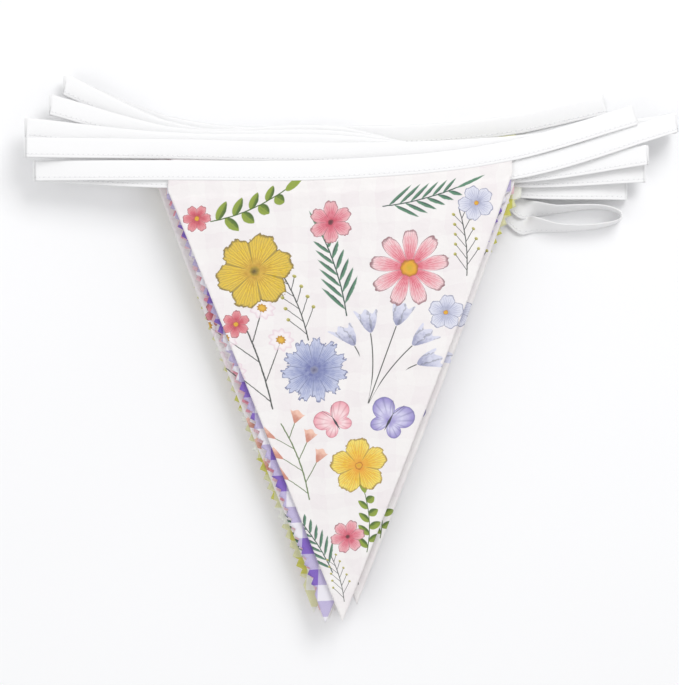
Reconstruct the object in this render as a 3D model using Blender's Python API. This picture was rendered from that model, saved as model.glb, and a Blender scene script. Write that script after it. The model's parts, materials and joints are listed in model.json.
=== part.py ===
"""Fabric bunting: twelve cloth pennants on one binding tape, folded up and laid flat.

The tape runs back and forth in twelve passes that fan out to the left and to the right, and each
pass carries one pennant. Pennant 1 lies on top and pennant 12 on the surface. The tape is a strip
folded in half along its length, and the top edge of each pennant lies in its fold. Plain pennants
have straight sides and gingham ones have pinked, saw-toothed sides.

Each layer rests on what lies beneath it: a height map of the pile is kept while the layers are
laid from the bottom up. +Z is up, +Y points from the pennants' tips to the tape.
"""

import math

import bmesh
import bpy
import numpy as np
from mathutils import Vector

# Cloth, in metres
CLOTH = 0.0010
GAP = 0.0003
TONGUE = 0.0004  # the pennant's top edge, pressed thin inside the tape
LEAF = 0.0003  # one leaf of the folded tape
TAPE_WIDTH = 0.0104
SLOT_DEPTH = 0.0086
TONGUE_DEPTH = 0.0081
FULL_HALF = (2 * LEAF + 2 * GAP + TONGUE) / 2  # half the tape's thickness around a pennant
SLIM_HALF = 0.0006  # half its thickness where the two leaves lie together
FULL_SLOT = TONGUE / 2 + GAP
SLIM_SLOT = 0.00015

# Pennants
WIDTH = 0.180
LENGTH = 0.235
SHOULDER = 0.006  # the side edges run straight down this far before they slope to the tip
TOOTH = 0.0056  # pitch of the pinked edge
TOOTH_DEPTH = 0.0024
PLAIN_TIP = 0.011  # the last stretch of a pinked edge, where no tooth fits
COLUMNS = 8
ROWS = (0.0003, 0.0012, 0.008, 0.024, 0.048, 0.078, 0.110, 0.142, 0.174, 0.206, LENGTH)
FALL = 0.32  # steepest slope at which the cloth comes down from the tape
WAVE = 0.00016  # what each layer adds to the soft waves of the pile
LONG_WAVE = (1.1, 0.9)  # turn of the wave, in radians, for each row and each column
CROSS_WAVE = (0.7, -1.6)
CROSS_PHASE = 1.0
BEND_POWER = 3  # how soon a pennant's rows straighten below the curved tape

# Samples taken of the height map
MAP_INSET = 0.08  # the height map spreads by a cell, so the tape is laid this share narrower
SAMPLES_ALONG = 24  # between two stations of the tape
SAMPLES_OVER = 12  # from the tape's lower edge to its upper one
CELL_SAMPLES = 12  # along each side of a cell of the pennant's grid
LEAN_SAMPLES = 9  # from edge to edge of the loop that stands up

# Tape beyond the pennants
OUTER = 5  # stations between a pennant's corner and the end of its loop
TURN_STEPS = 6
STEEP_RUN = 0.5  # a run whose level share is less than this is part of a turn
OPENING = 0.0036  # least height of a loop at its end
OPENING_RUN = 0.045  # a loop closes towards the pennants over this length
SAG_RADIUS = 0.30  # the free tape bends down from the pile along this radius
SIDE_X = 0.090  # where the table below gives the tape's place beside the pennants

# Ends of the loops: x of the end, y of the tape's lower edge there. The first and the last on the
# right are the tape's free ends, and None stands for the loop on its edge, which has its own table.
LEFT_ENDS = (
    (-0.160, 0.0000),
    (-0.164, 0.0120),
    (-0.1645, 0.0226),
    (-0.152, 0.0350),
    (-0.145, 0.0460),
    (-0.138, 0.0425),
)
RIGHT_ENDS = (
    (0.154, 0.0290),
    (0.176, 0.0255),
    (0.161, 0.0085),
    (0.160, -0.0005),
    (0.151, -0.0095),
    None,
    (0.140, 0.0360),
)

# The fifth loop on the right stands on its edge: x, y of the tape's middle, lean from flat
EDGE_LOOP = (
    (0.103, -0.0140, 42),
    (0.114, -0.0142, 70),
    (0.127, -0.0132, 78),
    (0.138, -0.0132, 82),
    (0.1455, -0.0152, 84),
    (0.1480, -0.0180, 86),
    (0.1455, -0.0208, 84),
    (0.137, -0.0229, 80),
    (0.126, -0.0240, 76),
    (0.114, -0.0238, 68),
    (0.103, -0.0222, 42),
)
EDGE_LOOP_PASS = 10  # the loop leads from this pass to the next one
EDGE_LOOP_LEAD = 0.007  # from the pass's last flat station to the loop's first one

# One row for each pass of the tape and its pennant, the top one first: pattern; y of the tape's
# lower edge at -SIDE_X, 0 and SIDE_X; x of the pennant's corners; x and y of its tip
LAYERS = (
    ("floral", 0.0000, 0.0005, 0.0104, -0.0894, 0.0886, 0.0010, -0.2304),
    ("lavender", -0.0040, -0.0020, 0.0005, -0.0900, 0.0885, -0.0078, -0.2310),
    ("floral", 0.0112, 0.0094, 0.0130, -0.0880, 0.0930, 0.0088, -0.2215),
    ("pink", 0.0110, 0.0080, -0.0010, -0.0950, 0.0910, -0.0075, -0.2270),
    ("floral", 0.0150, 0.0135, 0.0040, -0.0990, 0.0905, -0.0065, -0.2285),
    ("yellow", 0.0145, 0.0120, -0.0030, -0.0975, 0.0955, -0.0132, -0.2265),
    ("floral", 0.0185, 0.0160, 0.0010, -0.0900, 0.0905, 0.0030, -0.2240),
    ("lavender", 0.0175, 0.0130, -0.0080, -0.0890, 0.0900, 0.0000, -0.2220),
    ("floral", 0.0210, 0.0185, -0.0060, -0.0935, 0.0890, -0.0050, -0.2300),
    ("pink", 0.0200, 0.0150, -0.0140, -0.0950, 0.0880, -0.0090, -0.2290),
    ("floral", 0.0215, 0.0160, -0.0220, -0.0920, 0.0860, -0.0020, -0.2260),
    ("yellow", 0.0245, 0.0195, 0.0250, -0.0880, 0.0920, -0.0060, -0.2240),
)

# Linear colours and roughness
FINISHES = {
    "floral": ((0.86, 0.82, 0.82), 0.85),
    "lavender": ((0.42, 0.33, 0.72), 0.85),
    "pink": ((0.90, 0.50, 0.55), 0.85),
    "yellow": ((0.72, 0.70, 0.22), 0.85),
    "tape": ((0.90, 0.90, 0.91), 0.60),
}


class Pile:
    """The height of what has been laid so far, on a square grid seen from above."""

    cell = 0.0010
    low = np.array((-0.185, -0.250))
    high = np.array((0.195, 0.070))

    def __init__(self):
        counts = np.ceil((self.high - self.low) / self.cell).astype(int)
        self.top = np.zeros(counts)

    def cells(self, plan):
        return np.round((plan - self.low) / self.cell).astype(int)

    def under(self, plan):
        """The height of the pile under these points."""
        where = self.cells(plan)
        return self.top[where[..., 0], where[..., 1]]

    def lay(self, plan, tops):
        """Raises the pile to these heights at the points and in the cells around them."""
        where = self.cells(plan).reshape(-1, 2)
        for step in np.ndindex(3, 3):
            around = where + np.array(step) - 1
            np.maximum.at(self.top, (around[:, 0], around[:, 1]), np.ravel(tops))


def through(knots, x):
    """A smooth curve y(x) through the knots, with each knot's slope taken from its neighbours."""
    xs, ys = np.array(knots).T
    slopes = np.gradient(ys, xs)
    i = np.clip(np.searchsorted(xs, x) - 1, 0, len(xs) - 2)
    span = xs[i + 1] - xs[i]
    t = (x - xs[i]) / span
    ease = t * t * (3 - 2 * t)
    start, end = t * (1 - t) ** 2 * span, t * t * (t - 1) * span
    return ys[i] * (1 - ease) + ys[i + 1] * ease + slopes[i] * start + slopes[i + 1] * end


class Layer:
    """One pass of the tape, from left to right, with its pennant."""

    def __init__(self, number):
        self.number = number
        row = LAYERS[number - 1]
        self.pattern, low_left, low_middle, low_right = row[:4]
        self.left, self.right, self.tip_x, self.tip_y = row[4:]
        self.middle = (self.left + self.right) / 2
        self.left_end, left_y = LEFT_ENDS[(number - 1) // 2]
        self.right_end, right_y = self.right_stop()
        turn = OPENING / 2
        loops_right = 1 < number < len(LAYERS) and not self.on_edge()
        last = self.right_end - (turn if loops_right else 0)
        before = np.linspace(self.left_end + turn, self.left, OUTER + 1)[:-1]
        across = np.linspace(self.left, self.right, COLUMNS + 1)
        after = np.linspace(self.right, last, 2 if self.on_edge() else OUTER + 1)[1:]
        self.x = np.concatenate([before, across, after])
        self.first = len(before)
        self.last = self.first + COLUMNS
        knots = (
            (self.left_end, left_y),
            (-SIDE_X, low_left),
            (0, low_middle),
            (SIDE_X, low_right),
            (self.right_end, right_y),
        )
        self.y = through(knots, self.x) + TAPE_WIDTH / 2
        self.across = self.directions_across()
        self.half = np.full(len(self.x), SLIM_HALF)
        self.half[self.first : self.last + 1] = FULL_HALF
        self.z = np.zeros(len(self.x))
        self.nodes = None

    def directions_across(self):
        """At each station the direction across the tape, square to its run, seen from above."""
        middle = np.stack([self.x, self.y], -1)
        run = middle[np.r_[1 : len(middle), -1]] - middle[np.r_[0, 0 : len(middle) - 1]]
        run /= np.linalg.norm(run, axis=1)[:, None]
        return np.stack([-run[:, 1], run[:, 0]], -1)

    def right_stop(self):
        """x of the tape's right end on this pass, and y of its lower edge there."""
        if not self.on_edge():
            return RIGHT_ENDS[self.number // 2]
        x, y, _ = EDGE_LOOP[0 if self.number == EDGE_LOOP_PASS else -1]
        return x - EDGE_LOOP_LEAD, y - TAPE_WIDTH / 2

    def on_edge(self):
        return self.number in (EDGE_LOOP_PASS, EDGE_LOOP_PASS + 1)

    def band(self, i, inset=0.0):
        """Points over the tape between stations i and i + 1, with their share of the way."""
        share, over = np.meshgrid(
            np.linspace(0, 1, SAMPLES_ALONG), np.linspace(inset, 1 - inset, SAMPLES_OVER)
        )
        points = self.along(i + share, (over - 0.5) * TAPE_WIDTH)
        if i == 0:
            points[..., 0] -= OPENING / 2 * (share == 0)
        if i == len(self.x) - 2:
            points[..., 0] += OPENING / 2 * (share == 1)
        return points, share

    def along(self, station, over):
        """A point of the tape seen from above: station as a decimal, distance from its middle."""
        i = np.clip(station.astype(int), 0, len(self.x) - 2)
        share = (station - i)[..., None]
        middle = np.stack([self.x, self.y], -1)
        start = middle[i] + self.across[i] * over[..., None]
        end = middle[i + 1] + self.across[i + 1] * over[..., None]
        return start * (1 - share) + end * share

    def plan(self, s, d):
        """Where a point of the pennant lies: s across the cloth, d down from the tape."""
        q = np.clip(d / LENGTH, 0, 1)
        station = self.first + (s / WIDTH + 0.5) * COLUMNS
        top = self.along(station, np.full(np.shape(station), -TAPE_WIDTH / 2))
        x = top[..., 0] + (self.tip_x - self.middle) * q
        return np.stack([x, top[..., 1] * (1 - q) ** BEND_POWER + self.tip_y * q], -1)

    def height(self, s, d):
        """The pennant's middle height, from the nodes of its grid."""
        column = np.clip((s / WIDTH + 0.5) * COLUMNS, 0, COLUMNS - 1e-6)
        rows = np.array(ROWS)
        row = np.clip(np.searchsorted(rows, d, side="right") - 1, 0, len(rows) - 2)
        i = column.astype(int)
        u = column - i
        v = np.clip((d - rows[row]) / (rows[row + 1] - rows[row]), 0, 1)
        upper = self.nodes[row, i] * (1 - u) + self.nodes[row, i + 1] * u
        lower = self.nodes[row + 1, i] * (1 - u) + self.nodes[row + 1, i + 1] * u
        return upper * (1 - v) + lower * v

    def rest(self, pile, below):
        """Finds the heights at which the tape and the pennant rest on the pile, and lays them."""
        stations = len(self.x)
        spans = [pile.under(self.band(i)[0]).max() for i in range(stations - 1)]
        for i in range(stations):
            beside = spans[max(i - 1, 0) : i + 1]
            self.z[i] = max(beside) + GAP + self.half[i]
        cells = self.cell_heights(pile)
        for j in range(COLUMNS + 1):
            beside = cells[:2, max(j - 1, 0) : j + 1].max()
            self.z[self.first + j] = max(self.z[self.first + j], beside + GAP + CLOTH / 2)
        if below is None:
            self.z -= GAP
        self.sag()
        self.open_loop(below)
        self.nodes = np.zeros((len(ROWS), COLUMNS + 1))
        self.nodes[:2] = self.z[self.first : self.last + 1]
        for row in range(2, len(ROWS)):
            for j in range(COLUMNS + 1):
                beside = cells[row - 1 : row + 1, max(j - 1, 0) : j + 1].max()
                self.nodes[row, j] = beside + GAP + CLOTH / 2 + self.raised(row, j)
                if below is None:
                    self.nodes[row, j] = CLOTH / 2
            eased = self.nodes[row - 1] - FALL * (ROWS[row] - ROWS[row - 1])
            self.nodes[row] = np.maximum(self.nodes[row], eased)
        self.lay(pile)

    def raised(self, row, j):
        """The soft waves of the pile, which grow from layer to layer."""
        long_wave = math.sin(LONG_WAVE[0] * row + LONG_WAVE[1] * j)
        cross_wave = math.sin(CROSS_WAVE[0] * row + CROSS_WAVE[1] * j + CROSS_PHASE)
        return WAVE * (1 + (long_wave + cross_wave) / 2)

    def cell_heights(self, pile):
        """The height of the pile under each cell of the pennant's grid."""
        cells = np.zeros((len(ROWS), COLUMNS))
        wide = WIDTH / COLUMNS
        for row in range(len(ROWS) - 1):
            d = np.linspace(ROWS[row], ROWS[row + 1], CELL_SAMPLES)[:, None]
            for j in range(COLUMNS):
                s = np.linspace(0, wide, CELL_SAMPLES)[None, :] + j * wide - WIDTH / 2
                inside = np.abs(s) < half_width(d)
                if inside.any():
                    heights = pile.under(self.plan(*np.broadcast_arrays(s, d)))
                    cells[row, j] = heights[inside].max()
        return cells

    def sag(self):
        """The free tape bends down from the pennant's corners until something carries it."""
        leftwards = range(self.first - 1, -1, -1)
        rightwards = range(self.last + 1, len(self.x))
        for stations, step in ((leftwards, -1), (rightwards, 1)):
            slope = 0
            for i in stations:
                run = abs(self.x[i] - self.x[i - step])
                slope -= run / SAG_RADIUS
                self.z[i] = max(self.z[i], self.z[i - step] + run * slope)
                slope = min((self.z[i] - self.z[i - step]) / run, 0)

    def open_loop(self, below):
        """Keeps the loop that joins this pass to the one below it open at its end."""
        if below is None or self.number == EDGE_LOOP_PASS:
            return
        at_left = self.number % 2 == 1
        end = self.left_end if at_left else self.right_end
        near = np.clip(1 - np.abs(self.x - end) / OPENING_RUN, 0, 1)
        other = np.interp(self.x, below.x, below.z)
        ease = near * near * (3 - 2 * near)
        opened = other + OPENING * ease
        self.z = np.where(near > 0, np.maximum(self.z, opened), self.z)

    def lay(self, pile):
        """Adds the tape and the pennant to the pile."""
        tops = self.z + self.half
        for i in range(len(self.x) - 1):
            plan, share = self.band(i, MAP_INSET)
            pile.lay(plan, tops[i] + share * (tops[i + 1] - tops[i]))
        if self.on_edge():
            reach = TAPE_WIDTH / 2 * np.linspace(-1, 1, LEAN_SAMPLES)
            for x, y, lean in EDGE_LOOP:
                angle = math.radians(lean)
                plan = np.stack([np.full_like(reach, x), y + reach * math.cos(angle)], -1)
                pile.lay(plan, np.full_like(reach, TAPE_WIDTH * math.sin(angle) + SLIM_HALF))
        s, d = np.meshgrid(
            np.arange(-WIDTH / 2, WIDTH / 2, pile.cell), np.arange(0, LENGTH, pile.cell)
        )
        inside = np.abs(s) < half_width(d) - pile.cell / 2
        s, d = s[inside], d[inside]
        pile.lay(self.plan(s, d), self.height(s, d) + CLOTH / 2)


def half_width(d):
    """Half of a pennant's width at this distance down from the tape."""
    slope = np.clip((LENGTH - d) / (LENGTH - SHOULDER), 0, 1)
    return WIDTH / 2 * slope


def outline(pinked):
    """A pennant's outline in its own cloth, as (across, down), with the tongue above the edge."""
    side = [(WIDTH / 2, -TONGUE_DEPTH), (WIDTH / 2, SHOULDER)]
    if pinked:
        run = math.hypot(WIDTH / 2, LENGTH - SHOULDER)
        across, down = -WIDTH / 2 / run, (LENGTH - SHOULDER) / run
        for tooth in range(int((run - PLAIN_TIP) / TOOTH)):
            for along, inwards in ((tooth + 0.5, TOOTH_DEPTH), (tooth + 1, 0)):
                s = WIDTH / 2 + across * along * TOOTH - down * inwards
                side.append((s, SHOULDER + down * along * TOOTH + across * inwards))
    return side + [(0, LENGTH)] + [(-s, d) for s, d in reversed(side)]


def pennant_mesh(layer, places):
    """Cuts the outline along the grid, lays it on the layer's heights and gives it thickness."""
    bm = bmesh.new()
    corners = [bm.verts.new((s, -d, 0)) for s, d in outline(layer.pattern != "floral")]
    bm.faces.new(corners)
    cuts = [((s, 0, 0), (1, 0, 0)) for s in np.linspace(-WIDTH / 2, WIDTH / 2, COLUMNS + 1)[1:-1]]
    cuts += [((0, -d, 0), (0, 1, 0)) for d in ROWS[:-1]]
    for point, normal in cuts:
        geom = bm.verts[:] + bm.edges[:] + bm.faces[:]
        bmesh.ops.bisect_plane(bm, geom=geom, dist=1e-7, plane_co=point, plane_no=normal)
    bmesh.ops.triangulate(bm, faces=bm.faces[:])
    for face in bm.faces:
        if face.normal.z > 0:
            face.normal_flip()
    lower = bm.verts[:]
    grown = bmesh.ops.extrude_face_region(bm, geom=bm.faces[:])["geom"]
    upper = [v for v in grown if isinstance(v, bmesh.types.BMVert)]
    for vertices, side in ((lower, -1), (upper, 1)):
        for v in vertices:
            place_on_layer(v, side, layer, places)
    bmesh.ops.recalc_face_normals(bm, faces=bm.faces[:])
    return bm


def place_on_layer(v, side, layer, places):
    """Moves a vertex from the cloth's own plane to its place on the pile."""
    s, d = v.co.x, -v.co.y
    if d < ROWS[0] + 1e-6:
        column = (s / WIDTH + 0.5) * COLUMNS
        middle, across = places[layer.first + round(column)]
        v.co = middle - across * (TAPE_WIDTH / 2 + d)
        v.co.z += side * TONGUE / 2
        return
    x, y = layer.plan(np.array(s), np.array(d))
    v.co = (x, y, float(layer.height(np.array(s), np.array(d))) + side * CLOTH / 2)


def tape_route(layers):
    """Every station of the tape: middle, lean from flat in degrees, half thickness, half slot."""
    route = []
    for layer in layers:
        stations = [
            (Vector((x, y, z)), 0, half, FULL_SLOT if half == FULL_HALF else SLIM_SLOT)
            for x, y, z, half in zip(layer.x, layer.y, layer.z, layer.half)
        ]
        leftwards = layer.number % 2 == 1
        if leftwards:
            stations.reverse()
        route += stations
        if layer.number == EDGE_LOOP_PASS:
            route += standing_loop()
        elif layer.number < len(layers):
            route += turned_loop(layer, layers[layer.number])
    return route


def turned_loop(upper, lower):
    """A half turn down from one pass to the next."""
    end = 0 if upper.number % 2 == 1 else -1
    start = Vector((upper.x[end], upper.y[end], upper.z[end]))
    finish = Vector((lower.x[end], lower.y[end], lower.z[end]))
    middle = (start + finish) / 2
    outwards = Vector((-1 if end == 0 else 1, 0, 0))
    reach = OPENING / 2
    stations = []
    for step in range(1, TURN_STEPS):
        angle = math.pi * step / TURN_STEPS
        point = middle + (start - middle) * math.cos(angle) + outwards * reach * math.sin(angle)
        stations.append((point, 0, SLIM_HALF, SLIM_SLOT))
    return stations


def standing_loop():
    """The loop on its edge, which rests on the surface."""
    stations = []
    for x, y, lean in EDGE_LOOP:
        z = TAPE_WIDTH / 2 * math.sin(math.radians(lean)) + SLIM_HALF
        stations.append((Vector((x, y, z)), lean, SLIM_HALF, SLIM_SLOT))
    return stations


def tape_places(route):
    """For each station its middle and the direction across the tape, square to its run."""
    places = []
    for i, (point, lean, _, _) in enumerate(route):
        run = route[min(i + 1, len(route) - 1)][0] - route[max(i - 1, 0)][0]
        run.normalize()
        across = Vector((0, math.cos(math.radians(lean)), math.sin(math.radians(lean))))
        level = Vector((run.x, run.y, 0))
        square_to = level.normalized() if lean == 0 and level.length > STEEP_RUN else run
        across = (across - square_to * across.dot(square_to)).normalized()
        places.append((point, across, run))
    return places


def section(place, half, slot):
    """The tape's folded section at one station: two leaves, joined along the upper edge."""
    point, across, run = place
    up = run.cross(across)
    low, high = -TAPE_WIDTH / 2, TAPE_WIDTH / 2
    deep = low + SLOT_DEPTH
    corners = (
        (low, half),
        (low, slot),
        (deep, slot),
        (deep, -slot),
        (low, -slot),
        (low, -half),
        (high, -half),
        (high, half),
    )
    return [point + across * w + up * n for w, n in corners]


def partner_of(v, ring):
    """The vertex of the ring from which v was extruded."""
    return next(e.other_vert(v) for e in v.link_edges if e.other_vert(v) in ring)


def tape_mesh(route, places):
    """The tape as one section extruded from station to station."""
    bm = bmesh.new()
    first = section(places[0], *route[0][2:])
    start = bm.faces.new([bm.verts.new(co) for co in first])
    ring = list(start.verts)
    edges = [bm.edges.get((ring[i], ring[i - 1])) for i in range(len(ring))]
    for station, place in zip(route[1:], places[1:]):
        grown = bmesh.ops.extrude_edge_only(bm, edges=edges)["geom"]
        fresh = [g for g in grown if isinstance(g, bmesh.types.BMVert)]
        ordered = sorted(fresh, key=lambda v: ring.index(partner_of(v, ring)))
        for v, co in zip(ordered, section(place, *station[2:])):
            v.co = co
        ring = ordered
        edges = [bm.edges.get((ring[i], ring[i - 1])) for i in range(len(ring))]
    bm.faces.new(ring)
    bmesh.ops.recalc_face_normals(bm, faces=bm.faces[:])
    return bm


def material(pattern):
    colour, roughness = FINISHES[pattern]
    made = bpy.data.materials.new(pattern)
    made.use_nodes = True
    shader = made.node_tree.nodes["Principled BSDF"]
    shader.inputs["Base Color"].default_value = (*colour, 1)
    shader.inputs["Roughness"].default_value = roughness
    return made


def build_object(name, bm, shift, finish):
    bmesh.ops.translate(bm, vec=shift, verts=bm.verts[:])
    mesh = bpy.data.meshes.new(name)
    bm.to_mesh(mesh)
    bm.free()
    mesh.materials.append(finish)
    obj = bpy.data.objects.new(name, mesh)
    bpy.context.collection.objects.link(obj)


def bundle():
    """The mesh of every piece by name, in the place where the layers were laid."""
    pile = Pile()
    layers = [Layer(number + 1) for number in range(len(LAYERS))]
    below = None
    for layer in reversed(layers):
        layer.rest(pile, below)
        below = layer
    route = tape_route(layers)
    places = tape_places(route)
    meshes = {"tape": tape_mesh(route, places)}
    start = 0
    for layer in layers:
        count = len(layer.x)
        own = [place[:2] for place in places[start : start + count]]
        if layer.number % 2 == 1:
            own.reverse()
        start += count + (len(EDGE_LOOP) if layer.number == EDGE_LOOP_PASS else TURN_STEPS - 1)
        meshes[f"pennant_{layer.number:02d}_{layer.pattern}"] = pennant_mesh(layer, own)
    return meshes


def main():
    for obj in list(bpy.data.objects):
        bpy.data.objects.remove(obj)
    meshes = bundle()
    points = np.array([v.co for bm in meshes.values() for v in bm.verts])
    low, high = points.min(0), points.max(0)
    shift = Vector((-(low[0] + high[0]) / 2, -(low[1] + high[1]) / 2, 0))
    finishes = {pattern: material(pattern) for pattern in FINISHES}
    for name, bm in meshes.items():
        build_object(name, bm, shift, finishes[name.split("_")[-1]])
    bpy.context.view_layer.update()


main()
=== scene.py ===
# %% [markdown]
# # A folded fabric bunting
# Twelve cloth pennants hang on one binding tape, and the whole string lies folded up into a
# bundle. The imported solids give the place, the outline and the height of every layer. This lesson
# dresses them: cloth sheets with puckers, a tape with a rounded fold, woven checks and a flower
# print that is worked out by nodes.

# %% Load the frame
import json
import math

import bmesh
import bpy
import numpy as np
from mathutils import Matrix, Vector


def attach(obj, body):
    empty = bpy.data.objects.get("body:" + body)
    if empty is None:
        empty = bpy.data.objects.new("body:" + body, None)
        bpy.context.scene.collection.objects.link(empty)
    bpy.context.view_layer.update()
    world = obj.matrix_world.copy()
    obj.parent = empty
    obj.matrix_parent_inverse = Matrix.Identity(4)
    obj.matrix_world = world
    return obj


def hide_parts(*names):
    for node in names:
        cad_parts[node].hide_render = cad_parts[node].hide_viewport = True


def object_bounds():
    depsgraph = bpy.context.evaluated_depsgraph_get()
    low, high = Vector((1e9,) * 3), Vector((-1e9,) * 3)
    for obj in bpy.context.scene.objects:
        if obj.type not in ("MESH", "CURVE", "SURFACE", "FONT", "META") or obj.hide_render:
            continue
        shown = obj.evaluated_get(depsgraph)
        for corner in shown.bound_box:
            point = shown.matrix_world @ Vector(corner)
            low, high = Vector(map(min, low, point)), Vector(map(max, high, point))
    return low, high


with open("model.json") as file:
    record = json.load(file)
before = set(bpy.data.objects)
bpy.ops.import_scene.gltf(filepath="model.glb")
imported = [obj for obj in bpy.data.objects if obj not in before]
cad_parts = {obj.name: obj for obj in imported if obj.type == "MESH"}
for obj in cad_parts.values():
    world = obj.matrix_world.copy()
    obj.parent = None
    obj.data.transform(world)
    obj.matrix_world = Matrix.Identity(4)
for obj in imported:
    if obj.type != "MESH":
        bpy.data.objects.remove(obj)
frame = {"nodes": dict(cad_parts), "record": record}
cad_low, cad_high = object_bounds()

pennants = sorted(name for name in frame["nodes"] if name.startswith("pennant_"))
print(len(pennants), "pennants in a box of", [round(x, 4) for x in cad_high - cad_low])

# %% [markdown]
# ## The pennants' cloth
# A pennant is one cut triangle of thin cotton. It could be simulated, but the solids already hold
# the pile's heights, so each sheet is taken from its solid's upper face. The face is split until
# its edges are short, its heights are smoothed, and fine puckers are pressed into it. Solidify
# gives it its thickness last.

# %% Sizes of the cloth, in metres
CLOTH = 0.0006
PENNANT_WIDTH = 0.180
PENNANT_LENGTH = 0.235
TONGUE_DEPTH = 0.0081
MERGE = 0.000004
COARSE_EDGE = 0.0042
FINE_EDGE = 0.0026
FRONT_EDGE = 0.0017
UPWARDS = 0.2  # a face looks up when its normal's z is at least this
SPLIT_ROUNDS = 4
COARSE_SMOOTHING = 14
FINE_SMOOTHING = 6
PREFIX = "pennant_"


def cut_area():
    """The flat area of one cut pennant, with the tongue that the tape covers."""
    return PENNANT_WIDTH * (PENNANT_LENGTH / 2 + TONGUE_DEPTH)


print("one pennant has", round(cut_area() * 1e4), "square centimetres of cloth")


# %% Take the upper face of a solid
def upper_face(node):
    """A copy of the part of a node's mesh that looks up, as an open sheet."""
    bm = bmesh.new()
    bm.from_mesh(frame["nodes"][node].data)
    bmesh.ops.remove_doubles(bm, verts=bm.verts[:], dist=MERGE)
    bm.normal_update()
    other = [face for face in bm.faces if face.normal.z < UPWARDS]
    bmesh.ops.delete(bm, geom=other, context="FACES")
    return bm


# %% Split the face into short edges
def split_long_edges(bm, longest):
    """Halves the edges that are longer than this, in a few rounds."""
    for _ in range(SPLIT_ROUNDS):
        long_edges = [edge for edge in bm.edges if edge.calc_length() > longest]
        bmesh.ops.subdivide_edges(bm, edges=long_edges, cuts=1)
        bmesh.ops.triangulate(bm, faces=[face for face in bm.faces if len(face.verts) > 3])
        bmesh.ops.dissolve_degenerate(bm, edges=bm.edges[:], dist=MERGE)


def smooth_heights(bm, rounds):
    """Evens out the heights alone, so that the cut outline stays."""
    for _ in range(rounds):
        bmesh.ops.smooth_vert(bm, verts=bm.verts[:], factor=0.5, use_axis_z=True)


# %% [markdown]
# ## Cloth coordinates
# A print or a check is laid down before the pennant is cut, so the pattern has to follow the
# cloth and not the room. Each sheet keeps an attribute called cloth: its first number is the
# place across the pennant, and its second one the place up from the tape's edge, which is
# negative on the cloth, in metres. They are found from the pennant's two corners and its tip.


# %% Find the corners and write the attribute
CORNER_BAND = 0.06


def corners_of(bm):
    """The two upper corners and the tip of a pennant, seen from above."""
    places = np.array([v.co.xy for v in bm.verts])
    tip = places[places[:, 1].argmin()]
    upper = places[places[:, 1] > places[:, 1].max() - CORNER_BAND]
    return upper[upper[:, 0].argmin()], upper[upper[:, 0].argmax()], tip


def cloth_places(bm):
    """For each vertex: the place across the cloth and the place down from the tape's edge."""
    left, right, tip = corners_of(bm)
    middle = (left + right) / 2 - np.array((0, TONGUE_DEPTH))
    axes = np.array(((right - left) / PENNANT_WIDTH, (tip - middle) / PENNANT_LENGTH)).T
    places = np.array([v.co.xy for v in bm.verts]) - middle
    return places @ np.linalg.inv(axes).T


def write_attribute(mesh, name, vectors):
    """Stores one vector for each vertex."""
    made = mesh.attributes.new(name, "FLOAT_VECTOR", "POINT")
    made.data.foreach_set("vector", np.ascontiguousarray(vectors, np.float32).ravel())


# %% Puckers near the tape and slack in the cloth
PUCKER = 0.0013
PUCKER_START = 0.004
PUCKER_REACH = 0.022
PUCKER_WAVES = (430, 171)  # radians for each metre, as all the waves here
WANDER = 0.004
WANDER_WAVE = 60
SLACK = 0.0005
SLACK_START = 0.02
SLACK_WAVES = ((52, 31), (-23, 44))
LOWER_RELIEF = 0.4  # the lower pennants are pressed flatter than the front one
HEM = 0.0042
HEM_RISE = 0.00022
HEM_SLOPE = 1.15  # the ridge of the hem ends a little before the hem does


def relief(across, down, seed):
    """How far the cloth stands proud: puckers under the tape, and soft slack lower down."""
    wander = WANDER * np.sin(down * WANDER_WAVE + seed)
    fine, wide = PUCKER_WAVES
    ridges = np.sin((across + wander) * fine + seed) * np.sin((across - wander) * wide + 2 * seed)
    near = np.exp(-np.clip(down, 0, None) / PUCKER_REACH) * np.clip(down / PUCKER_START, 0, 1)
    (a, b), (c, d) = SLACK_WAVES
    waves = np.sin(across * a + down * b + seed) * np.sin(across * c + down * d + 2 * seed)
    inner = np.clip(down / SLACK_START, 0, 1)
    return PUCKER * near * (1 + ridges) / 2 + SLACK * inner * (1 + waves) / 2


def hem(across, down):
    """The turned edge of a plain pennant is a little thicker than the cloth."""
    half = PENNANT_WIDTH / 2 * np.clip(1 - down / PENNANT_LENGTH, 0, 1)
    inwards = np.clip((half - np.abs(across)) / HEM, 0, 1)
    return HEM_RISE * np.sin(np.pi * np.clip(inwards * HEM_SLOPE, 0, 1)) * (down > 0)


# %% Build the twelve sheets
SEED_STEP = 1.7  # shifts each pennant's waves, so that no two are alike


def finish_object(name, bm):
    """Makes a smooth-shaded object at the origin from a bmesh, without doubled faces."""
    mesh = bpy.data.meshes.new(name)
    bm.to_mesh(mesh)
    bm.free()
    mesh.validate()
    mesh.shade_smooth()
    obj = bpy.data.objects.new(name, mesh)
    bpy.context.collection.objects.link(obj)
    return obj


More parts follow.
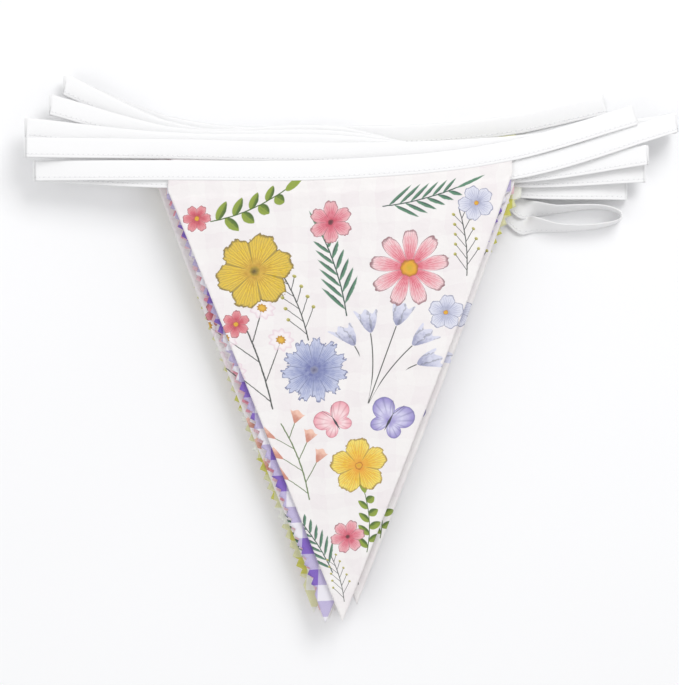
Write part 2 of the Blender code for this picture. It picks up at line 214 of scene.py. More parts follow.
def pennant_sheet(number, node):
    """One pennant's cloth, made from its solid. Number 0 is the front one."""
    bm = upper_face(node)
    split_long_edges(bm, COARSE_EDGE)
    smooth_heights(bm, COARSE_SMOOTHING)
    split_long_edges(bm, FRONT_EDGE if number == 0 else FINE_EDGE)
    smooth_heights(bm, FINE_SMOOTHING)
    across, down = cloth_places(bm).T
    rise = relief(across, down, SEED_STEP * number) * (1 if number == 0 else LOWER_RELIEF)
    if node.endswith("floral"):
        rise = rise + hem(across, down)
    for vertex, up in zip(bm.verts, rise):
        vertex.co.z += up
    obj = finish_object("cloth_" + node.removeprefix(PREFIX), bm)
    write_attribute(obj.data, "cloth", np.stack([across, -down, 0 * down], -1))
    thick = obj.modifiers.new("thickness", "SOLIDIFY")
    thick.thickness = CLOTH
    thick.offset = -1
    return obj


sheets = {node: pennant_sheet(number, node) for number, node in enumerate(pennants)}
for node, sheet in sheets.items():
    print(sheet.name, len(sheet.data.polygons), "triangles before its thickness")

# %% [markdown]
# ## The binding tape
# The tape is one strip, folded in half along its length and run back and forth through the
# bundle. The solid has eight corners at each station. Here its stations are read from the frame,
# a smooth line is led through them, and a finer section with a rounded fold and a stitched groove
# is extruded along that line.

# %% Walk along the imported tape
TAPE_WIDTH = 0.0104
END_FACING = 0.9


def tape_rings():
    """The tape's corners, station by station, walked from its upper free end."""
    bm = bmesh.new()
    bm.from_mesh(frame["nodes"]["tape"].data)
    bmesh.ops.remove_doubles(bm, verts=bm.verts[:], dist=MERGE)
    end = next(m for m in frame["record"]["mounts"] if m["name"] == "tape_end_top")
    place, axis = Vector(end["pos_m"]), Vector(end["axis"])
    near = [f for f in bm.faces if (f.calc_center_median() - place).length < TAPE_WIDTH]
    cap = {v for face in near if face.normal.dot(axis) > END_FACING for v in face.verts}
    ring = sorted(cap, key=lambda v: v.index)
    seen, rings = set(ring), []
    while ring:
        rings.append([v.co.copy() for v in ring])
        beside = {e.other_vert(v) for v in ring for e in v.link_edges}
        ring = sorted(beside - seen, key=lambda v: v.index)
        seen.update(ring)
    bm.free()
    return rings


rings = tape_rings()
print(len(rings), "stations, each with", {len(ring) for ring in rings}, "corners")


# %% Find the line, the fold's side and the thickness at each station
def stations_of(rings):
    """Middle, direction across (towards the fold), direction up and half thickness."""
    rows, last_up = [], Vector((0, 0, 1))
    for ring in rings:
        points = np.array(ring)
        mean = points.mean(0)
        _, _, axes = np.linalg.svd(points - mean)
        spread = (points - mean) @ axes[0]
        across = axes[0] * (1 if spread.max() + spread.min() > 0 else -1)
        middle = mean + axes[0] * (spread.max() + spread.min()) / 2
        height = (points - mean) @ axes[1]
        up = Vector(axes[1])
        if up.dot(last_up) < 0:
            up.negate()
        last_up = up
        rows.append((Vector(middle), Vector(across), up, np.ptp(height) / 2))
    return rows


stations = stations_of(rings)
steps = [(b[0] - a[0]).length for a, b in zip(stations, stations[1:])]

# %% Lead a smooth line through the stations
STEPS_BETWEEN = 6
SHORT_STEP = 0.004
STEPS_IN_SHORT = 3


def smooth_between(values, i, t):
    """A point between stations i and i + 1 on the smooth curve through all the stations."""
    before, after = values[max(i - 1, 0)], values[min(i + 2, len(values) - 1)]
    start, end = values[i], values[i + 1]
    leave, arrive = (end - before) / 2, (after - start) / 2
    return (
        start * (2 * t**3 - 3 * t**2 + 1)
        + leave * (t**3 - 2 * t**2 + t)
        + end * (3 * t**2 - 2 * t**3)
        + arrive * (t**3 - t**2)
    )


def tape_line():
    """The tape's line in short steps: middle, across, up, half thickness, length so far."""
    middles, acrosses, ups, halves = (list(column) for column in zip(*stations))
    line, length = [], 0.0
    for i in range(len(stations) - 1):
        count = STEPS_BETWEEN if steps[i] > SHORT_STEP else STEPS_IN_SHORT
        for t in (k / count for k in range(count)):
            middle = smooth_between(middles, i, t)
            across = acrosses[i].lerp(acrosses[i + 1], t).normalized()
            up = ups[i].lerp(ups[i + 1], t)
            up = (up - across * up.dot(across)).normalized()
            half = halves[i] * (1 - t) + halves[i + 1] * t
            line.append((middle, across, up, half, length + t * steps[i]))
        length += steps[i]
    line.append((middles[-1], acrosses[-1], ups[-1], halves[-1], length))
    return line


line = tape_line()
print(len(line), "sections along the tape")

# %% The folded section
# The profile gives one leaf's outer side: the distance across, and the share of the half thickness.
STITCH_AT = 0.0017
LEAF_PROFILE = (
    (0.0000, 0.60),
    (0.0002, 0.92),
    (0.0010, 0.98),
    (STITCH_AT, 0.84),
    (0.0024, 0.98),
    (0.0052, 1.00),
    (0.0084, 1.00),
    (0.0096, 0.90),
    (0.0102, 0.60),
)
SLOT_START = 0.0001
SLOT_END = 0.0088
SLOT_SHARE = 0.30
SLIM = 0.82


def folded_section(spot):
    """One closed section: the upper leaf, the fold, the lower leaf and the slot between them."""
    middle, across, up, half, _ = spot
    upper = [(w, h * half * SLIM) for w, h in LEAF_PROFILE]
    fold = [(TAPE_WIDTH, 0.0)]
    lower = [(w, -h) for w, h in reversed(upper)]
    slot = half * SLOT_SHARE
    inner = [(SLOT_START, -slot), (SLOT_END, -slot), (SLOT_END, slot), (SLOT_START, slot)]
    corners = upper + fold + lower + inner
    return [middle + across * (w - TAPE_WIDTH / 2) + up * n for w, n in corners]


def around_section():
    """The distance across the tape at each corner, negative on the lower leaf."""
    upper = [w for w, _ in LEAF_PROFILE]
    return upper + [TAPE_WIDTH] + [-w for w in reversed(upper)] + [0, SLOT_END, SLOT_END, 0]


print("the section has", len(around_section()), "corners")


# %% Extrude the section along the line
def tape_object():
    """The whole tape, with its place along and across the cloth kept at each vertex."""
    bm = bmesh.new()
    cloth = bm.verts.layers.float_vector.new("cloth")
    profile = around_section()

    def set_ring(verts, spot):
        for vertex, place, across in zip(verts, folded_section(spot), profile):
            vertex.co = place
            vertex[cloth] = (spot[4], across, 0)

    ring = [bm.verts.new(place) for place in folded_section(line[0])]
    set_ring(ring, line[0])
    bm.faces.new(ring)
    for spot in line[1:]:
        edges = [bm.edges.get((a, b)) for a, b in zip(ring, ring[1:] + ring[:1])]
        bmesh.ops.extrude_edge_only(bm, edges=edges)
        bm.verts.ensure_lookup_table()
        fresh = {v: v for v in bm.verts[-len(ring) :]}
        ring = [next(o for e in v.link_edges if (o := e.other_vert(v)) in fresh) for v in ring]
        set_ring(ring, spot)
    bm.faces.new(ring)
    bmesh.ops.recalc_face_normals(bm, faces=bm.faces[:])
    return finish_object("binding_tape", bm)


tape = tape_object()
print(tape.name, len(tape.data.polygons), "faces")

# %% [markdown]
# ## Sums made of nodes
# A print that is painted by nodes stays sharp from any distance. It needs many small sums, and a
# node tree built one link at a time is hard to read. The class below wraps a socket, so that
# a * b + c in the script adds the Math nodes for it.


# %% A socket that can be added and multiplied
class Sum:
    """A number in a node tree. Each operator adds one Math node and gives its result."""

    def __init__(self, tree, socket):
        self.tree, self.socket = tree, socket

    def step(self, operation, *others):
        """The result of one Math node."""
        node = self.tree.nodes.new("ShaderNodeMath")
        node.operation = operation
        for slot, value in zip(node.inputs, (self, *others)):
            if isinstance(value, Sum):
                self.tree.links.new(value.socket, slot)
            else:
                slot.default_value = value
        return Sum(self.tree, node.outputs[0])

    def __add__(self, other):
        return self.step("ADD", other)

    def __sub__(self, other):
        return self.step("SUBTRACT", other)

    def __mul__(self, other):
        return self.step("MULTIPLY", other)

    def __truediv__(self, other):
        return self.step("DIVIDE", other)

    def __pow__(self, other):
        return self.step("POWER", other)

    def __neg__(self):
        return self.step("MULTIPLY", -1)

    def __abs__(self):
        return self.step("ABSOLUTE")

    def flip(self, whole=1.0):
        """whole minus this number."""
        return (-self) + whole

    def most(self, other):
        return self.step("MAXIMUM", other)

    def least(self, other):
        return self.step("MINIMUM", other)

    def soft(self, low, high):
        """0 up to low, 1 from high on, and a smooth step between them. low may be the larger."""
        node = self.tree.nodes.new("ShaderNodeMapRange")
        node.interpolation_type = "SMOOTHSTEP"
        self.tree.links.new(self.socket, node.inputs["Value"])
        node.inputs["From Min"].default_value = low
        node.inputs["From Max"].default_value = high
        return Sum(self.tree, node.outputs["Result"])


def parted(tree, vector):
    """The first two numbers of a vector."""
    node = tree.nodes.new("ShaderNodeSeparateXYZ")
    tree.links.new(vector, node.inputs[0])
    return Sum(tree, node.outputs["X"]), Sum(tree, node.outputs["Y"])


def noise(tree, vector, scale, detail=2.0):
    """A cloudy number, mostly from 0.3 to 0.7."""
    node = tree.nodes.new("ShaderNodeTexNoise")
    node.inputs["Scale"].default_value = scale
    node.inputs["Detail"].default_value = detail
    tree.links.new(vector, node.inputs["Vector"])
    return Sum(tree, node.outputs["Fac"])


# %% Colour helpers
def set_colour(tree, slot, colour):
    """Puts a colour, or the socket that carries one, into a slot."""
    if isinstance(colour, tuple):
        slot.default_value = (*colour, 1)
    else:
        tree.links.new(colour, slot)


def painted(tree, below, above, amount):
    """above laid over below where amount is 1."""
    node = tree.nodes.new("ShaderNodeMix")
    node.data_type = "RGBA"
    tree.links.new(amount.socket, node.inputs[0])
    set_colour(tree, node.inputs[6], below)
    set_colour(tree, node.inputs[7], above)
    return node.outputs[2]


def ramp(tree, value, *stops):
    """A colour that runs through the stops (place, colour) as value grows."""
    node = tree.nodes.new("ShaderNodeValToRGB")
    elements = node.color_ramp.elements
    while len(elements) < len(stops):
        elements.new(0.5)
    for element, (place, colour) in zip(elements, stops):
        element.position, element.color = place, (*colour, 1)
    tree.links.new(value.socket, node.inputs[0])
    return node.outputs[0]


# %% [markdown]
# ## The motifs of the print
# The cloth is printed with loose watercolour flowers, leaves and butterflies, each with a thin
# dark pencil line round it and fine veins. This print is a general one of that kind. Every motif
# is a node group that works in its own small space, where a flower reaches about 1 from its
# middle, and lays its colour over the one that comes in. A Mapping node set to Texture puts the
# group at its place on the cloth.

# %% Start and end of a motif group
INK = (0.045, 0.05, 0.06)


def motif(name, paint):
    """A node group that paints one motif. paint(tree, below, x, y, grain) gives the new colour."""
    tree = bpy.data.node_groups.new(name, "ShaderNodeTree")
    for label, kind in (("Below", "Color"), ("Point", "Vector"), ("Grain", "Float")):
        tree.interface.new_socket(label, in_out="INPUT", socket_type="NodeSocket" + kind)
    tree.interface.new_socket("Colour", in_out="OUTPUT", socket_type="NodeSocketColor")
    enter = tree.nodes.new("NodeGroupInput")
    leave = tree.nodes.new("NodeGroupOutput")
    x, y = parted(tree, enter.outputs["Point"])
    colour = paint(tree, enter.outputs["Below"], x, y, Sum(tree, enter.outputs["Grain"]))
    tree.links.new(colour, leave.inputs["Colour"])
    print(name, len(tree.nodes), "nodes")
    return tree


def polar(x, y):
    """Distance from the motif's middle and angle round it."""
    return (x * x + y * y).step("SQRT"), y.step("ARCTAN2", x)


# %% Round flowers
FRILLS = 3  # for each petal, as the veins are
VEINS = 7
PENCIL_VEINS = 13


def flower(petals, depth, sharp, inner, middle, outer, line, eye, eye_size=0.16, ragged=0.03):
    """A painter for a flower: petals round an eye, with veins and a pencil line.

    depth is how deep the gaps between petals go, and sharp how narrow they are.
    """

    def paint(tree, below, x, y, grain):
        distance, angle = polar(x, y)
        to_gap = (angle * (petals / math.pi)).step("PINGPONG", 1.0)
        frill = (angle * (petals * FRILLS) + grain * 9).step("SINE") * ragged
        reach = (to_gap**sharp * depth).flip() ** 0.5 + frill + (grain - 0.5) * 0.12
        share = (distance / reach.most(0.02)).least(1.5)
        inside = share.soft(1.0, 0.975)
        veins = ((angle * (petals * VEINS) + grain * 7).step("SINE") * 0.5 + 0.5) ** 2
        pooled = (share + (grain - 0.5) * 0.8).least(1.0).most(0.0)
        colour = ramp(tree, pooled, (0.0, inner), (0.45, middle), (0.95, outer))
        colour = painted(tree, colour, inner, veins * share.soft(1.05, 0.15) * 0.9)
        fine = ((angle * (petals * PENCIL_VEINS) - grain * 9).step("SINE") * 0.5 + 0.5) ** 8
        colour = painted(tree, colour, line, fine * share.soft(0.15, 0.5) * 0.40)
        colour = painted(tree, colour, line, to_gap.soft(0.88, 1.0) * share.soft(0.1, 0.5) * 0.6)
        colour = painted(tree, colour, line, share.soft(0.90, 0.965) * (grain + 0.25).least(1.0))
        laid = painted(tree, below, colour, inside * 0.96)
        core = distance + (grain - 0.5) * 0.12
        stops = zip((0.0, 0.6, 1.0), eye)
        seeds = ramp(tree, (core / eye_size).least(1.0), *stops)
        return painted(tree, laid, seeds, core.soft(eye_size, eye_size * 0.85))

    return paint


# %% Sprigs: a stem with leaves or side twigs
def sprig(count, lean, length, width, light, dark, taper=0.4, bend=0.25, twigs=False, head=None):
    """A painter for a stem along x from 0 to 1, with leaves or twigs on both sides."""
    pitch = 0.86 / count
    slant = 1 / math.tan(lean)

    def paint(tree, below, x, y, grain):
        side = y - x * x * bend + (grain - 0.5) * 0.015
        out = abs(side)
        shift = side.soft(-0.0001, 0.0001) * (pitch * 0.5)
        along = x - out * slant - 0.08 + shift
        number = (along / pitch).step("FLOOR").most(0.0).least(count - 1.0)
        from_axis = (along - number * pitch - pitch * 0.5) * math.sin(lean)
        up = out / math.sin(lean) + from_axis * slant
        own = (number * (taper / count)).flip() * length
        share = (up / own).least(1.0)
        colour = below
        if not twigs:
            form = (share**0.6 * share.flip().most(0.0) ** 0.75) * (width * 2.0)
            edge = form - abs(from_axis) + (grain - 0.5) * 0.012
            tone = painted(tree, light, dark, (from_axis / width + grain).soft(0.1, 1.1))
            tone = painted(tree, tone, light, abs(from_axis).soft(0.012, 0.004) * 0.7)
            colour = painted(tree, colour, tone, edge.soft(0.0, 0.012))
        else:
            twig = abs(from_axis).soft(0.008, 0.002) * (own - up).soft(0.0, 0.01)
            twig = twig * up.soft(0.0, 0.01)
            colour = painted(tree, colour, dark, twig)
        stem = abs(side).soft(0.011, 0.004) * x.soft(-0.005, 0.005) * x.soft(1.0, 0.99)
        colour = painted(tree, colour, dark, stem)
        if head:
            colour = head(tree, colour, from_axis, up - own, grain)
        top = x.flip(0.97)
        if not twigs:
            share = (-top / length).most(0.0).least(1.0)
            form = (share**0.6 * share.flip() ** 0.75) * (width * 2.0)
            colour = painted(tree, colour, light, (form - abs(side)).soft(0.0, 0.012))
        return colour

    return paint


def bud_head(size, colour, tip):
    """A round bud at the end of each twig."""

    def paint(tree, below, across, beyond, grain):
        distance = (across * across + beyond * beyond).step("SQRT")
        tone = painted(tree, colour, tip, (beyond / size).soft(-0.6, 0.8))
        return painted(tree, below, tone, distance.soft(size, size * 0.8))

    return paint


def trumpet_head(size, colour, tip):
    """A small trumpet that widens away from the twig, with a notched rim."""

    def paint(tree, below, across, beyond, grain):
        rise = beyond / size
        lobes = (across * (9 / size)).step("COSINE") * 0.12
        inside = (rise * 0.42 + 0.10 - abs(across / size)).soft(0.0, 0.05)
        inside = inside * rise.soft(-0.15, 0.0) * (rise.flip() + lobes).soft(0.0, 0.05)
        tone = painted(tree, colour, tip, (rise + grain - 0.5).soft(0.2, 1.0))
        return painted(tree, below, tone, inside)

    return paint


def daisy_head(size, petals=9):
    """A pale small daisy with a golden eye at the end of each twig."""

    def paint(tree, below, across, beyond, grain):
        distance, angle = polar(across, beyond)
        frill = (angle * petals).step("COSINE") * 0.11 + 0.89
        share = distance / (frill * size)
        pale = painted(tree, (0.93, 0.86, 0.88), (0.78, 0.58, 0.66), share.soft(0.6, 1.0))
        laid = painted(tree, below, pale, share.soft(1.0, 0.9) * 0.7)
        gold = painted(tree, (0.80, 0.47, 0.05), (0.45, 0.22, 0.02), share.soft(0.1, 0.4))
        return painted(tree, laid, gold, share.soft(0.40, 0.34))

    return paint


# %% A fan of stems with cup-shaped blooms
def fan(count, spread, light, dark, stem):
    """A painter for stems that leave one point and end in cups. The middle one is the longest."""

    def paint(tree, below, x, y, grain):
        distance, angle = polar(x, y)
        number = (angle / spread + 0.5).step("FLOOR").most(-count).least(count)
        turn = angle - number * spread + distance.flip() * 0.22 * number
        across = turn * distance
        own = abs(number) * -0.13 + 1.0
        line = abs(across).soft(0.010, 0.003) * (own - distance).soft(0.0, 0.01)
        colour = painted(tree, below, stem, line * distance.soft(0.0, 0.02))
        rise = (distance - own) / 0.27
        rim = (across * 46).step("COSINE") * 0.10
        cup = (rise.most(0.0) ** 0.55 * 0.145 - abs(across) + (grain - 0.5) * 0.03).soft(0.0, 0.01)
        cup = cup * (rise.flip() + rim).soft(0.0, 0.05) * rise.soft(-0.01, 0.01)
        tone = painted(tree, dark, light, (rise + (grain - 0.5) * 1.2).soft(0.0, 0.9))
        lines = (across * 60 + grain * 6).step("SINE").soft(0.7, 1.0)
        tone = painted(tree, tone, stem, lines * 0.4)
        return painted(tree, colour, tone, cup)

    return paint


# %% Butterflies
def butterfly(pale, deep, edge):
    """A painter for a butterfly seen from above, with its body along y."""

    def paint(tree, below, x, y, grain):
        distance, angle = polar(abs(x), y)
        fore = ((angle - 0.72) * 1.55).step("COSINE").most(0.0) ** 0.55
        hind = ((angle + 0.66) * 1.75).step("COSINE").most(0.0) ** 0.6 * 0.72
        reach = fore.most(hind) + (grain - 0.5) * 0.05
        share = distance / reach.most(0.02)
        veins = ((angle * 17).step("SINE") * 0.5 + 0.5) ** 6
        tone = ramp(tree, share + (grain - 0.5) * 0.35, (0.0, deep), (0.5, pale), (0.98, deep))
        tone = painted(tree, tone, edge, veins * share.soft(0.15, 0.6) * 0.45)
        tone = painted(tree, tone, edge, share.soft(0.92, 0.98) * 0.8)
        tone = painted(tree, tone, edge, (fore - hind).step("ABSOLUTE").soft(0.05, 0.0) * 0.6)
        laid = painted(tree, below, tone, share.soft(1.0, 0.97) * 0.95)
        body = (abs(x) / 0.055 + abs(y + 0.02) / 0.40).soft(1.0, 0.9)
        laid = painted(tree, laid, INK, body)
        feeler = abs(abs(x) - (y - 0.3).most(0.0) * 0.5).soft(0.014, 0.005)
        return painted(tree, laid, INK, feeler * y.soft(0.3, 0.32) * y.soft(0.78, 0.76))

    return paint


# %% Paint every kind of motif once
GOLD_EYE = ((0.62, 0.42, 0.02), (0.80, 0.40, 0.03), (0.30, 0.05, 0.02))
DARK_EYE = ((0.10, 0.03, 0.04), (0.20, 0.05, 0.06), (0.35, 0.08, 0.10))
BROWN_EYE = ((0.10, 0.07, 0.02), (0.35, 0.24, 0.03), (0.60, 0.38, 0.03))
BLUE_EYE = ((0.10, 0.10, 0.18), (0.25, 0.26, 0.40), (0.18, 0.22, 0.45))
LEAF_DARK = (0.045, 0.10, 0.05)
TWIG = (0.05, 0.06, 0.055)

MOTIFS = {
    "buttercup": flower(
        6, 0.42, 2.6, (0.50, 0.25, 0.010), (0.84, 0.58, 0.020), (0.72, 0.50, 0.035),
        (0.10, 0.07, 0.015), BROWN_EYE, 0.15,
    ),
    "primrose": flower(
        5, 0.55, 3.0, (0.78, 0.30, 0.005), (0.90, 0.58, 0.020), (0.90, 0.72, 0.12),
        (0.22, 0.11, 0.015), GOLD_EYE, 0.14,
    ),
    "mallow": flower(
        6, 0.62, 2.4, (0.55, 0.03, 0.08), (0.82, 0.24, 0.31), (0.88, 0.50, 0.53),
        (0.22, 0.04, 0.06), DARK_EYE, 0.13,
    ),
    "little_red": flower(
        6, 0.60, 2.2, (0.42, 0.01, 0.03), (0.74, 0.14, 0.19), (0.80, 0.32, 0.34),
        (0.24, 0.04, 0.06), GOLD_EYE, 0.20,
    ),
    "cosmos": flower(
        9, 0.90, 2.6, (0.62, 0.015, 0.07), (0.90, 0.34, 0.40), (0.92, 0.66, 0.68),
        (0.17, 0.04, 0.06), GOLD_EYE, 0.24, 0.015,
    ),
    "cornflower": flower(
        11, 0.40, 1.8, (0.09, 0.11, 0.34), (0.37, 0.42, 0.66), (0.60, 0.64, 0.82),
        (0.06, 0.08, 0.22), BLUE_EYE, 0.15, 0.06,
    ),
    "periwinkle": flower(
        5, 0.52, 2.6, (0.30, 0.32, 0.46), (0.66, 0.68, 0.83), (0.80, 0.81, 0.90),
        (0.16, 0.18, 0.32), GOLD_EYE, 0.14,
    ),
    "leafy_sprig": sprig(4, 0.95, 0.26, 0.080, (0.27, 0.36, 0.045), (0.06, 0.13, 0.015)),
    "willow_sprig": sprig(6, 0.62, 0.40, 0.036, (0.10, 0.24, 0.15), (0.02, 0.07, 0.05), 0.5, 0.15),
    "bud_twig": sprig(
        5, 0.62, 0.30, 0.03, LEAF_DARK, TWIG, 0.5, 0.18, True,
        bud_head(0.026, (0.30, 0.29, 0.05), (0.62, 0.56, 0.20)),
    ),
    "daisy_twig": sprig(
        2, 0.62, 0.48, 0.03, LEAF_DARK, TWIG, 0.3, 0.12, True, daisy_head(0.135)
    ),
    "trumpet_sprig": sprig(
        3, 0.72, 0.30, 0.03, LEAF_DARK, (0.13, 0.20, 0.07), 0.3, 0.2, True,
        trumpet_head(0.17, (0.62, 0.27, 0.20), (0.90, 0.58, 0.46)),
    ),
    "harebells": fan(2, 0.34, (0.70, 0.71, 0.84), (0.33, 0.34, 0.50), TWIG),
    "violet_butterfly": butterfly((0.66, 0.64, 0.86), (0.25, 0.20, 0.55), (0.12, 0.12, 0.32)),
    "pink_butterfly": butterfly((0.95, 0.72, 0.74), (0.84, 0.33, 0.40), (0.48, 0.12, 0.17)),
}
motifs = {name: motif(name, paint) for name, paint in MOTIFS.items()}

# %% [markdown]
# ## Where the motifs lie
# The table gives each motif's place in millimetres from the middle of the tape's edge (right, up),
# its turn in degrees and its size in millimetres. They are spread loosely, as on a cotton for
# dresses. Stems and leaves come first, so that the blooms lie over them, and a motif that meets
# the cut edge simply runs off it.

# %% The table of the print
PRINT = (
    ("willow_sprig", 3, -70, 97, 44),
    ("bud_twig", 66, -52, 86, 36),
    ("bud_twig", -17, -82, 101, 42),
    ("daisy_twig", -36, -118, 101, 52),
    ("harebells", 14, -118, 70, 44),
    ("trumpet_sprig", -17, -168, 98, 44),
    ("leafy_sprig", -68, -15, 7, 42),
    ("willow_sprig", 22, -12, 3, 40),
    ("leafy_sprig", 13, -198, 78, 32),
    ("willow_sprig", -5, -208, 112, 34),
    ("bud_twig", 1, -224, 95, 26),
    ("buttercup", -45, -43, 12, 20.5),
    ("cosmos", 36, -46, 8, 21),
    ("cornflower", -14, -98, 20, 17.5),
    ("mallow", -5, -19, 30, 11.5),
    ("primrose", 9, -151, 22, 15),
    ("periwinkle", 71, -13, 40, 9.5),
    ("periwinkle", 55, -71, 10, 9.5),
    ("little_red", -75, -13, 0, 7.5),
    ("little_red", -55, -71, 25, 7.5),
    ("mallow", 3, -189, 10, 9),
    ("violet_butterfly", 25, -128, -28, 14),
    ("pink_butterfly", -3, -127, 30, 12),
)
print(len(PRINT), "motifs of", len(motifs), "kinds")

# %% [markdown]
# ## Woven cotton
# The pennants are plain weave, with crossing threads a third of a millimetre apart, and the tape is
# a fine twill. The weave is in the bump of every material. In a gingham the threads themselves are
# dyed in bands, so a square where dyed threads cross dyed ones is strong, and where they cross
# white ones it is half as strong.

# %% Start a cloth material
MM = 1000.0
THREAD = 0.34


def cloth_material(name, roughness, sheen):
    """A material with its shader, its tree and its place on the cloth in millimetres."""
    made = bpy.data.materials.new(name)
    made.use_nodes = True
    tree = made.node_tree
    shader = tree.nodes["Principled BSDF"]
    shader.inputs["Roughness"].default_value = roughness
    shader.inputs["Sheen Weight"].default_value = sheen
    shader.inputs["Specular IOR Level"].default_value = 0.25
    place = tree.nodes.new("ShaderNodeAttribute")
    place.attribute_name = "cloth"
    scale = tree.nodes.new("ShaderNodeVectorMath")
    scale.operation = "MULTIPLY"
    scale.inputs[1].default_value = (MM, MM, MM)
    tree.links.new(place.outputs["Vector"], scale.inputs[0])
    return made, tree, shader, scale.outputs[0]


def weave(x, y):
    """Height of crossing threads from 0 to 1, and 1 where the thread along y is on top."""
    over = (x * (math.pi / THREAD)).step("SINE") * (y * (math.pi / THREAD)).step("SINE")
    along = abs((x * (math.pi / THREAD)).step("SINE"))
    across = abs((y * (math.pi / THREAD)).step("SINE"))
    top = over.soft(-0.1, 0.1)
    return top * along + top.flip() * across, top


def add_bump(tree, shader, *layers):
    """Chains Bump nodes: each layer is (height, distance in metres, strength)."""
    normal = None
    for height, distance, strength in layers:
        node = tree.nodes.new("ShaderNodeBump")
        node.inputs["Distance"].default_value = distance
        node.inputs["Strength"].default_value = strength
        tree.links.new(height.socket, node.inputs["Height"])
        if normal:
            tree.links.new(normal, node.inputs["Normal"])
        normal = node.outputs[0]
    tree.links.new(normal, shader.inputs["Normal"])


# %% The gingham
CHECK = 9.0


def dyed(value, wobble):
    """1 in the dyed bands of threads, with a slightly uneven edge."""
    return (value / CHECK + wobble).step("PINGPONG", 1.0).soft(0.485, 0.515)


def gingham(name, colour, pale):
    """A checked cotton in one colour and white."""
    made, tree, shader, point = cloth_material(name, 0.85, 0.15)
    x, y = parted(tree, point)
    cloudy = noise(tree, point, 0.16, 3.0)
    fibre = noise(tree, point, 2.6, 2.0)
    wobble = (cloudy - 0.5) * 0.05
    warp, weft = dyed(x, wobble), dyed(y + 2.0, wobble)
    height, top = weave(x, y)
    average = (warp + weft) * 0.5
    threads = top * warp + top.flip() * weft
    strength = average * 0.72 + threads * 0.28
    strength = strength * (cloudy * 0.24 + fibre * 0.30 + 0.73)
    cloth = painted(tree, pale, colour, strength.least(1.0))
    tree.links.new(cloth, shader.inputs["Base Color"])
    add_bump(tree, shader, (cloudy, 0.0008, 0.25), (height, 0.00012, 0.5))
    return made


ginghams = {
    "lavender": gingham("lavender_gingham", (0.24, 0.14, 0.54), (0.86, 0.84, 0.90)),
    "pink": gingham("pink_gingham", (0.84, 0.33, 0.41), (0.90, 0.84, 0.85)),
    "yellow": gingham("yellow_gingham", (0.65, 0.64, 0.13), (0.87, 0.88, 0.80)),
}
print("ginghams:", ", ".join(ginghams))


# %% The printed cotton
HAIR = 1e-7


def after(tree, colour, point):
    """The same point to a hair, but worked out after the colour.

    The renderer can hold only some 250 open numbers at a time. Tied like this, it finishes one
    motif before it starts the next.
    """
    node = tree.nodes.new("ShaderNodeVectorMath")
    node.operation = "MULTIPLY_ADD"
    tree.links.new(colour, node.inputs[0])
    node.inputs[1].default_value = (HAIR, HAIR, HAIR)
    tree.links.new(point, node.inputs[2])
    return node.outputs[0]


def printed_cotton(material_name, table):
    """A white cotton with the table's motifs laid on it one after another."""
    made, tree, shader, point = cloth_material(material_name, 0.85, 0.12)
    x, y = parted(tree, point)
    cloudy = noise(tree, point, 0.07, 3.0)
    grain = noise(tree, point, 0.42, 4.0)
    height, _ = weave(x, y)
    # The faint check in the ground is painted show-through shade: the gingham beneath, seen through
    # the thin white cloth.
    shade_x, shade_y = dyed(x + 3.0, cloudy - 0.5), dyed(y - 2.0, cloudy - 0.5)
    through = (shade_x + shade_y) * 0.5
    ground = painted(tree, (0.895, 0.87, 0.86), (0.83, 0.765, 0.785), through * cloudy * 0.9)
    colour = ground
    for name, right, up, turn, size in table:
        spot = tree.nodes.new("ShaderNodeMapping")
        spot.vector_type = "TEXTURE"
        spot.inputs["Location"].default_value = (right, up, 0)
        spot.inputs["Rotation"].default_value = (0, 0, math.radians(turn))
        spot.inputs["Scale"].default_value = (size, size, 1)
        tree.links.new(after(tree, colour, point), spot.inputs["Vector"])
        laid = tree.nodes.new("ShaderNodeGroup")
        laid.node_tree = motifs[name]
        set_colour(tree, laid.inputs["Below"], colour)
        tree.links.new(spot.outputs[0], laid.inputs["Point"])
        tree.links.new(grain.socket, laid.inputs["Grain"])
        colour = laid.outputs["Colour"]
    fibre = noise(tree, point, 2.6, 2.0)
    faded = painted(tree, colour, ground, (fibre * 0.16) * grain)
    tree.links.new(faded, shader.inputs["Base Color"])
    add_bump(tree, shader, (cloudy, 0.003, 0.35), (height, 0.00010, 0.45))
    return made


full_print = printed_cotton("floral_cotton", PRINT)
print("the print's tree has", len(full_print.node_tree.nodes), "nodes of its own")

# %% [markdown]
# Of the lower printed pennants only the edges show. Their cloth has every second motif, which
# makes it quicker to bake.

# %% A lighter print for the lower pennants
edge_print = printed_cotton("floral_cotton_below", PRINT[1::2])
print("the lighter tree has", len(edge_print.node_tree.nodes), "nodes")


# %% The tape's cotton
STITCH_PITCH = 2.6


def tape_cotton():
    """White tape with a twill weave, a row of stitches near its open edge and painted shade in the
    groove between the stitches.
    """
    made, tree, shader, point = cloth_material("white_tape", 0.6, 0.25)
    x, y = parted(tree, point)
    cloudy = noise(tree, point, 0.12, 2.0)
    twill = ((x + abs(y)) * (2 * math.pi / 0.9)).step("SINE") * 0.5 + 0.5
    dash = (x * (2 * math.pi / STITCH_PITCH)).step("SINE").soft(-0.75, -0.35)
    seam = abs(abs(y) - STITCH_AT * MM).soft(0.42, 0.16)
    thread = seam * dash
    # Painted shade: the stitched groove is darkened between the stitches, and the stitches
    # themselves are white thread.
    shade = painted(tree, (0.905, 0.905, 0.907), (0.66, 0.66, 0.68), seam * dash.flip() * 0.4)
    shade = painted(tree, shade, (0.95, 0.95, 0.955), thread * 0.8)
    tree.links.new(shade, shader.inputs["Base Color"])
    add_bump(
        tree, shader, (cloudy, 0.0008, 0.2), (twill, 0.00006, 0.4), (thread, 0.00020, 0.8)
    )
    return made


tape.data.materials.append(tape_cotton())
for node, sheet in sheets.items():
    pattern = node.split("_")[-1]
    flowers = full_print if node in pennants[:3] else edge_print
    sheet.data.materials.append(ginghams.get(pattern, flowers))
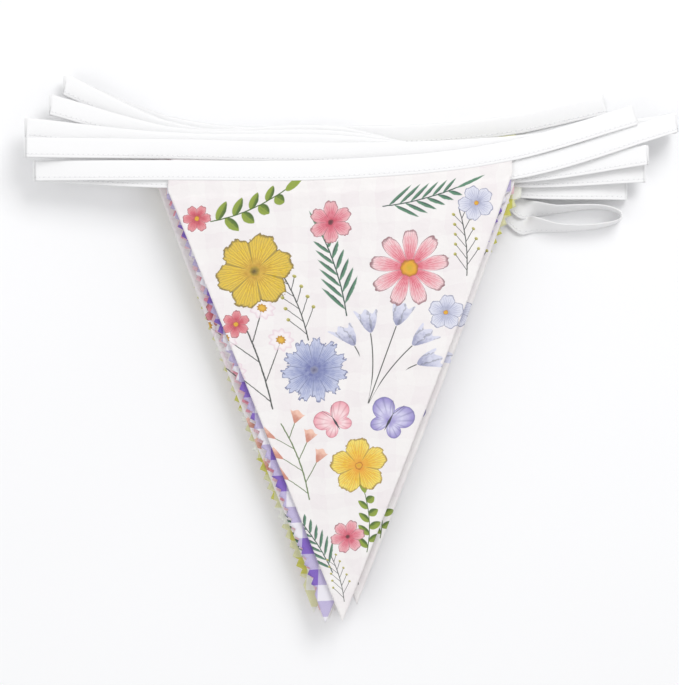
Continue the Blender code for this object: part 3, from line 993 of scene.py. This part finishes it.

# %% [markdown]
# ## Tying the pieces to the frame
# Each sheet stands for its imported solid and moves with the bundle's one body.

for node, sheet in sheets.items():
    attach(sheet, "root")
    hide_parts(node)

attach(tape, "root")
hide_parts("tape")
print("declared", len(sheets) + 1, "sheets")

# %% [markdown]
# ## Camera
# The bundle is seen from straight above. A long lens a metre and a half up keeps the layers'
# outlines where they lie. The picture is 685 pixels high, and one pixel is about half a
# millimetre.

# %% Look straight down
FRAME_HEIGHT = 685
PIXEL = 0.00052
SENSOR = 36.0
CAMERA_HEIGHT = 1.5
PICTURE_MIDDLE = (-0.0060, 0.0032)

camera_data = bpy.data.cameras.new("overhead")
camera = bpy.data.objects.new("overhead", camera_data)
bpy.context.collection.objects.link(camera)
bpy.context.scene.camera = camera
camera.location = (*PICTURE_MIDDLE, cad_high.z + CAMERA_HEIGHT)
camera_data.sensor_width = SENSOR
camera_data.lens = SENSOR * CAMERA_HEIGHT / (FRAME_HEIGHT * PIXEL)
camera_data.clip_end = 10
print("lens", round(camera_data.lens), "mm")

# %% [markdown]
# ## Light and floor
# The picture is bright, with soft, faint shadows. A white world and a wide softbox at the left
# fill the shadows, and a smaller softbox at the upper right gives the edges of the tape their
# thin ones. The floor is a plain, nearly white sheet, a hair below the lowest cloth.

# %% Softboxes, world and floor
FLOOR_GAP = 0.0001
FLOOR_HALF = 3
SKY = 0.70


def softbox(name, place, size, power):
    """A square lamp that is turned to the middle of the scene."""
    lamp = bpy.data.lights.new(name, "AREA")
    lamp.size = size
    lamp.energy = power
    obj = bpy.data.objects.new(name, lamp)
    obj.location = place
    obj.rotation_euler = (-obj.location).to_track_quat("-Z", "Y").to_euler()
    bpy.context.collection.objects.link(obj)


softbox("key", (0.55, 0.95, 1.15), 0.7, 10.0)
softbox("fill", (-1.1, -0.3, 1.3), 1.4, 5.5)

world = bpy.data.worlds.new("studio")
world.use_nodes = True
world.node_tree.nodes["Background"].inputs["Color"].default_value = (0.98, 0.98, 0.99, 1)
world.node_tree.nodes["Background"].inputs["Strength"].default_value = SKY
bpy.context.scene.world = world
bpy.context.scene.view_settings.view_transform = "Standard"

floor_sheet = bmesh.new()
bmesh.ops.create_grid(floor_sheet, x_segments=1, y_segments=1, size=FLOOR_HALF)
bmesh.ops.translate(floor_sheet, vec=(0, 0, -FLOOR_GAP), verts=floor_sheet.verts[:])
floor = finish_object("floor", floor_sheet)
paper = bpy.data.materials.new("floor_paper")
paper.use_nodes = True
shader = paper.node_tree.nodes["Principled BSDF"]
shader.inputs["Roughness"].default_value = 0.8
grain = paper.node_tree.nodes.new("ShaderNodeTexNoise")
grain.inputs["Scale"].default_value = 3.0
place = paper.node_tree.nodes.new("ShaderNodeTexCoord")
paper.node_tree.links.new(place.outputs["Object"], grain.inputs["Vector"])
tone = ramp(
    paper.node_tree,
    Sum(paper.node_tree, grain.outputs["Fac"]),
    (0.3, (0.915, 0.917, 0.925)),
    (0.7, (0.935, 0.937, 0.942)),
)
paper.node_tree.links.new(tone, shader.inputs["Base Color"])
floor.data.materials.append(paper)
